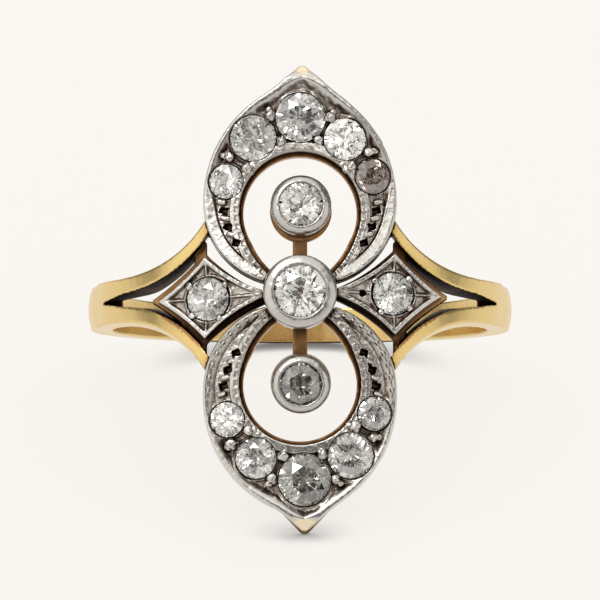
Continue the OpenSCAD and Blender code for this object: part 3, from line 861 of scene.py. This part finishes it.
def cutCrescent(name, up, seed):
    # up is 1 for the upper crescent and -1 for the lower one, which is worked out pointing up and turned over
    stones = [(x, up * v, width) for x, v, width, turn, kind in crescentStones[name]]
    spans = crescentSpans(name, up)

    def place(alongShare, acrossShare):
        angle, near, far, run = spans[round(alongShare * crescentWork["along"])]
        x, v = onRay(angle, near + (far - near) * acrossShare)
        return x, up * v, cutHeight(x, v, run, stones, name, seed)

    bm = stripMesh(crescentWork["along"], crescentWork["across"], head["whiteDepth"], place)
    noseLine = crescentShape["tipV"][name] - noseShape["gold"][name]
    for face in bm.faces:
        x, y, v = face.calc_center_median()
        if up * (v + head["drop"]) > noseLine + noseShape["goldSlope"] * abs(x - crescentShape["tipShift"][name]):
            face.material_index = 1
    bm = drilled(bm, [(x, up * v, width / 2 - crescentWork["holeInset"]) for x, v, width in stones])
    piece = newPiece(name + "_front", bm, "platinum", white, noseGold)
    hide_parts(name)
    setBeads(name, up, stones, random.Random(seed))


cutCrescent("upper_crescent", 1, 2)
cutCrescent("lower_crescent", -1, 5)
print("crescents cut")

# Old stones, cut by hand: rings of corners, given as share of the radius, share of the width in height, and count
oldCut = {
    "corners": [(0.52, 0.155, 7), (0.80, 0.095, 7), (1.0, 0.013, 14), (1.0, -0.013, 14), (0.56, -0.24, 7),
                (0.12, -0.42, 5)],
    "uneven": 0.07, "twist": 0.12, "flatWithin": 3,
}


def cutStone(name, x, v, width, turn, kind, height=-0.1, lean=0.0):
    dice = random.Random(name)
    stand = standOnFace(x, v, height, turn, lean)
    bm = bmesh.new()
    for i, (share, rise, count) in enumerate(oldCut["corners"]):
        ring = bmesh.ops.create_circle(bm, segments=count, radius=share * width / 2)
        onGirdle = share == 1.0
        spin = 0.5 * (i % 2) * math.tau / count
        for vert in ring["verts"]:
            wobble = 0 if onGirdle else oldCut["uneven"]
            vert.co *= 1 + wobble * dice.uniform(-1, 1)
            twist = 0 if onGirdle else oldCut["twist"] * dice.uniform(-1, 1)
            vert.co = Matrix.Rotation(spin + twist, 4, "Z") @ vert.co
            vert.co.z = rise * width * (1 + wobble * dice.uniform(-1, 1))
    bmesh.ops.convex_hull(bm, input=bm.verts)
    loose = [vert for vert in bm.verts if not vert.link_faces]
    bmesh.ops.delete(bm, geom=loose, context="VERTS")
    bmesh.ops.dissolve_limit(bm, angle_limit=math.radians(oldCut["flatWithin"]), verts=bm.verts, edges=bm.edges)
    bmesh.ops.recalc_face_normals(bm, faces=bm.faces)
    bm.transform(stand)
    piece = newPiece(name + "_stone", bm, "diamond", diamonds[kind])
    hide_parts(name)


for crescent, half in (("upper_crescent", "upper"), ("lower_crescent", "lower")):
    for i, (x, v, width, turn, kind) in enumerate(crescentStones[crescent]):
        cutStone(f"{half}_diamond_{i + 1}", x, v, width, turn, kind)
for lozenge, (x, v, width, turn, kind) in sideStones.items():
    cutStone(lozenge.split("_")[0] + "_diamond", x, v, width, turn, kind)
print("stones cut")

# Collets: place along the head, stone's width, outside width, height over the face, lean, the stone's turn and kind
collets = {
    "centre_collet": ("centre_diamond", 0.0, 0.22, 2.45, 3.26, 0.55, 0, 4, "bright"),
    "upper_collet": ("upper_collet_diamond", 0.04, 4.08, 2.10, 2.68, 0.15, 2, 17, "grey"),
    "lower_collet": ("lower_collet_diamond", 0.04, -3.82, 2.04, 2.62, 0.15, -2, 9, "dull"),
}
colletWork = {"steps": 128, "girdle": -0.24, "lipOver": 0.10, "holeInset": 0.15, "uneven": 0.035, "wavy": 0.03,
              "waves": (2.2, 6.5), "fineShare": 0.7}


def spinProfile(bm, profile, steps):
    verts = [bm.verts.new((radius, 0, height)) for radius, height in profile]
    edges = [bm.edges.new(pair) for pair in zip(verts, verts[1:] + verts[:1])]
    bmesh.ops.spin(bm, geom=verts + edges, cent=(0, 0, 0), axis=(0, 0, 1), angle=math.tau, steps=steps, use_merge=True)
    bmesh.ops.recalc_face_normals(bm, faces=bm.faces)
    for face in bm.faces:
        face.smooth = True


def turnCollet(name, stone, x, v, width, outsideWidth, proud, lean, turn, kind):
    radius, outside = width / 2, outsideWidth / 2
    lip, foot, hole = radius - colletWork["lipOver"], -head["whiteDepth"], radius - colletWork["holeInset"]
    ledge = proud + colletWork["girdle"] - 0.07
    bm = bmesh.new()
    spinProfile(bm, [
        (hole, foot), (outside - 0.08, foot), (outside - 0.02, foot + 0.2), (outside, proud - 0.4),
        (outside - 0.01, proud - 0.27), (outside - 0.04, proud - 0.19), (outside - 0.1, proud - 0.13),
        (mix(outside, lip, 0.35), proud - 0.08), (mix(outside, lip, 0.65), proud - 0.03), (lip + 0.08, proud),
        (lip + 0.03, proud - 0.02), (lip, proud - 0.07), (lip + 0.02, proud - 0.12),
        (radius + 0.03, proud - 0.17), (radius + 0.03, ledge), (hole, ledge - 0.17),
    ], colletWork["steps"])
    # the lip is uneven, as it was pushed over the stone by hand
    broad, fine = colletWork["waves"]
    for vert in bm.verts:
        away = math.hypot(vert.co.x, vert.co.y)
        across, up = vert.co.x / away, vert.co.y / away
        wave = unevenAt(across, up, broad, 10 * v) + colletWork["fineShare"] * unevenAt(across, up, fine, 10 * v)
        inner = 1 - smoothStep(lip + 0.02, mix(outside, lip, 0.4), away)
        if vert.co.z > proud - 0.14:
            push = colletWork["uneven"] * wave * inner
            vert.co.x *= 1 + push / away
            vert.co.y *= 1 + push / away
            vert.co.z += colletWork["wavy"] * wave * (0.4 + 0.6 * inner)
    bm.transform(standOnFace(x, v, 0, 0, lean))
    piece = newPiece(name + "_bezel", bm, "platinum", lipWhite)
    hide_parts(name)
    cutStone(stone, x, v, width, turn, kind, proud + colletWork["girdle"], lean)


for name, facts in collets.items():
    turnCollet(name, *facts)
print("collets turned")

# Gold cups that show below the small collets, a little wider than them and set low, in the brown copy of the gold that
# paints them in shade
cups = {"upperCup": (0.04, 4.08, 2.68, 2, -0.14), "lowerCup": (0.04, -3.82, 2.62, -2, 0.0)}
cupWork = {
    "steps": 96, "wider": 0.02,
    "profile": [(-0.5, -0.84), (-0.06, -0.84), (0, -0.95), (-0.02, -1.3), (-0.14, -1.68), (-0.5, -1.7)],
}


def turnCup(name, x, v, width, lean, slip):
    outside = width / 2 + cupWork["wider"]
    bm = bmesh.new()
    spinProfile(bm, [(outside + away, height) for away, height in cupWork["profile"]], cupWork["steps"])
    bm.transform(standOnFace(x, v + slip, 0, 0, lean))
    newPiece(name, bm, "gold", brown)


for name, facts in cups.items():
    turnCup(name, *facts)

# White fronts of the side lozenges: a rim, a sunk field that runs up to the stone, ridges to the corners and beads
lozengeShape = {
    "inner": 1.1, "mid": 4.2, "tip": 6.28, "outer": 6.25, "halfHeight": 1.8, "bow": (0.25, 0.1),
    "v": {"left_lozenge": 0.02, "right_lozenge": 0.2}, "slant": {"left_lozenge": -0.05, "right_lozenge": -0.02},
}
lozengeWork = {
    "around": 400, "across": 40, "rim": 0.15, "slope": 0.12, "floor": -0.2, "ridge": 0.15, "ridgeHalf": 0.07,
    "holeInset": 0.15, "handCut": 0.03, "cutScales": (4.5, 10), "neckFade": (3.0, 2.2), "neckRise": 0.45,
    "round": (0.06, 0.05), "drilled": (2.78, 0.18, 0.13), "drilledDepth": -0.6, "drilledEdge": (-0.03, 0.03),
}


def insideLozenge(x, v):
    # distance inside the right-hand lozenge, with its own middle line at v = 0
    shape = lozengeShape
    v = abs(v)
    distances = []
    for cornerX, bow in zip((shape["inner"], shape["tip"]), shape["bow"]):
        run = Vector((shape["mid"] - cornerX, shape["halfHeight"]))
        length = run.length
        run /= length
        out = Vector((-run.y, run.x)) * (1 if cornerX < shape["mid"] else -1)
        here = Vector((x - cornerX, v))
        share = min(max(here.dot(run) / length, 0), 1)
        distances.append(-here.dot(out) - bow * (1 - (2 * share - 1) ** 2))
    return min(distances + [shape["outer"] - x])


def cutLozenge(name, seed):
    shape, work = lozengeShape, lozengeWork
    stoneX, stoneV, width, turn, kind = sideStones[name]
    way = -1 if stoneX < 0 else 1
    middleV, slant = shape["v"][name], shape["slant"][name]
    centre = Vector((abs(stoneX), stoneV - middleV))
    hole = width / 2 - work["holeInset"]
    corners = [Vector((shape["inner"], 0)), Vector((shape["mid"], shape["halfHeight"])), Vector((shape["outer"], 0)),
               Vector((shape["mid"], -shape["halfHeight"]))]
    broad, fine = work["cutScales"]

    def inside(x, v):
        room = math.hypot(x, v + middleV - crescentShape["centreV"]) - crescentShape["centreRoom"]
        return min(insideLozenge(x, v), room)

    def ridgeAt(off):
        # 1 on the lines from the stone to the corners
        ridge = 0.0
        for corner in corners:
            line = (corner - centre).normalized()
            along = off.dot(line)
            if along > 0:
                ridge = max(ridge, math.exp(-((off - along * line).length / work["ridgeHalf"]) ** 2))
        return ridge

    def place(aroundShare, acrossShare):
        angle = math.tau * aroundShare
        outwards = Vector((math.cos(angle), math.sin(angle)))
        edgeReach = lastPlace(lambda reach: inside(*(centre + outwards * reach)) > 0, hole, 4.0, 30)
        reach = hole + (edgeReach - hole) * acrossShare
        x, v = centre + outwards * reach
        edge = insideLozenge(x, v)
        sunk = smoothStep(work["rim"], work["rim"] + work["slope"], edge)
        cut = unevenAt(x, v, broad, seed) + 0.5 * unevenAt(x, v, fine, seed)
        neck = 1 - work["neckRise"] * smoothStep(*work["neckFade"], x)
        height = sunk * (work["floor"] * neck + work["ridge"] * ridgeAt(outwards * reach)) + work["handCut"] * cut
        height -= work["round"][0] * roundedOff(edge, work["round"][1])
        if way > 0:
            drilledX, drilledV, radius = work["drilled"]
            gap = math.hypot(x - drilledX, v + middleV - drilledV) - radius
            height = mix(work["drilledDepth"], height, smoothStep(*work["drilledEdge"], gap))
        height = sinkSeat(height, x, v, reach - width / 2, lozengeSeat, seed + 4)
        return way * x, v + middleV + slant * (x - shape["mid"]), height

    bm = stripMesh(work["around"], work["across"], head["whiteDepth"], place, joined=True)
    piece = newPiece(name + "_front", bm, "platinum", white)
    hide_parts(name)
    beads = bmesh.new()
    dice = random.Random(seed)
    for turned in beadWork["lozengeTurns"]:
        angle = math.radians(turned + dice.uniform(-beadWork["lozengeStray"], beadWork["lozengeStray"]))
        spot = centre + Vector((math.cos(angle), math.sin(angle))) * (width / 2 + beadWork["lozengeAway"])
        addBead(beads, way * spot.x, spot.y + middleV, beadKinds["lozenge"], dice)
    newPiece(name + "_beads", beads, "platinum", white)


cutLozenge("left_lozenge", 8)
cutLozenge("right_lozenge", 9)
print("lozenges cut")

# The solids that the pieces stand for get their plain materials
for name, piece in nodes.items():
    plain = gold if name == "shank_and_gallery" else white
    piece.data.materials.clear()
    piece.data.materials.append(diamonds["bright"] if "diamond" in name else plain)
